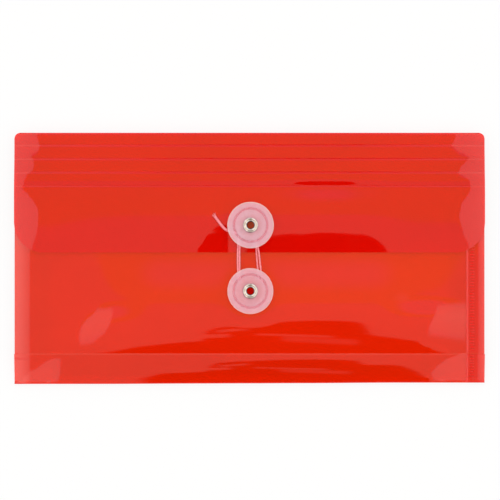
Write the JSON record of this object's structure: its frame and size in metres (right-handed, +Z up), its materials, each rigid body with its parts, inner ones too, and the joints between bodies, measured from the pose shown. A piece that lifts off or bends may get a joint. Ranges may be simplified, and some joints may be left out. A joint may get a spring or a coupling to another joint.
{
  "type": "string tie envelope",
  "caption": "Translucent red film envelope with pleated sides and bottom, a scored fold-over flap and a button-and-string tie on riveted discs.",
  "frame": {"origin": "centre of the envelope's footprint, on the table under its back panel", "axes": "+X along the envelope's width to the right as seen from the front, +Y towards the flap's fold, +Z up out of the front, as it lies on its back"},
  "size_m": [0.254, 0.1354, 0.012],
  "materials": {
    "film": "translucent red polypropylene film, glossy",
    "button": "frosted translucent moulded plastic",
    "eyelet": "warm nickel-plated rolled metal",
    "string": "twisted pinkish-red thread"
  },
  "bodies": {
    "back": {"back_panel": "film"},
    "spine": {"flap_spine": "film"},
    "flap": {"flap_panel": "film", "flap_button": "button", "flap_eyelet": "eyelet", "flap_eyelet_washer": "eyelet", "tie_string": "string"},
    "left_back_leaf": {"left_gusset_back_leaf": "film"},
    "left_front_leaf": {"left_gusset_front_leaf": "film"},
    "front": {"front_panel": "film", "side_weld_tab": "film", "body_button": "button", "body_eyelet": "eyelet", "body_eyelet_washer": "eyelet"},
    "right_back_leaf": {"right_gusset_back_leaf": "film"},
    "right_front_leaf": {"right_gusset_front_leaf": "film"},
    "bottom_back_leaf": {"bottom_gusset_back_leaf": "film"},
    "bottom_front_leaf": {"bottom_gusset_front_leaf": "film", "bottom_weld_tab": "film", "side_weld_tab_foot": "film"}
  },
  "joints": [
    {"name": "back_crease", "type": "hinge", "parent": "back", "child": "spine", "pos_m": [0, 0.06755, 0.00015], "axis": [-1, 0, 0], "range_deg": [0, 87.01]},
    {"name": "flap_crease", "type": "hinge", "parent": "spine", "child": "flap", "pos_m": [0, 0.06755, 0.00745], "axis": [-1, 0, 0], "range_deg": [0, 87], "deforming": ["tie_string"]},
    {"name": "left_back_crease", "type": "hinge", "parent": "back", "child": "left_back_leaf", "pos_m": [-0.12665, 0, 0.00065], "axis": [0, -1, 0], "range_deg": [0, 27.66]},
    {"name": "left_pleat", "type": "hinge", "parent": "left_back_leaf", "child": "left_front_leaf", "pos_m": [-0.1083, 0, 0.003], "axis": [0, -1, 0], "range_deg": [-55.33, 0]},
    {"name": "left_front_crease", "type": "hinge", "parent": "left_front_leaf", "child": "front", "pos_m": [-0.12665, 0, 0.00535], "axis": [0, -1, 0], "range_deg": [0, 27.66]},
    {"name": "right_back_crease", "type": "hinge", "parent": "back", "child": "right_back_leaf", "pos_m": [0.12665, 0, 0.00065], "axis": [0, 1, 0], "range_deg": [0, 27.66]},
    {"name": "right_pleat", "type": "hinge", "parent": "right_back_leaf", "child": "right_front_leaf", "pos_m": [0.1083, 0, 0.003], "axis": [0, 1, 0], "range_deg": [-55.33, 0]},
    {"name": "bottom_back_crease", "type": "hinge", "parent": "back", "child": "bottom_back_leaf", "pos_m": [0, -0.0513, 0.00015], "axis": [-1, 0, 0], "range_deg": [0, 32.34]},
    {"name": "bottom_fold", "type": "hinge", "parent": "bottom_back_leaf", "child": "bottom_front_leaf", "pos_m": [0, -0.06755, 0.003], "axis": [-1, 0, 0], "range_deg": [-64.67, 0]}
  ],
  "couplings": [
    {"joint": "back_crease", "follows": "flap_crease", "ratio": 1},
    {"joint": "left_back_crease", "follows": "flap_crease", "ratio": 0.31793},
    {"joint": "left_pleat", "follows": "flap_crease", "ratio": -0.63586},
    {"joint": "left_front_crease", "follows": "flap_crease", "ratio": 0.31793},
    {"joint": "right_back_crease", "follows": "flap_crease", "ratio": 0.31793},
    {"joint": "right_pleat", "follows": "flap_crease", "ratio": -0.63586},
    {"joint": "bottom_back_crease", "follows": "flap_crease", "ratio": 0.37163},
    {"joint": "bottom_fold", "follows": "flap_crease", "ratio": -0.74326}
  ]
}
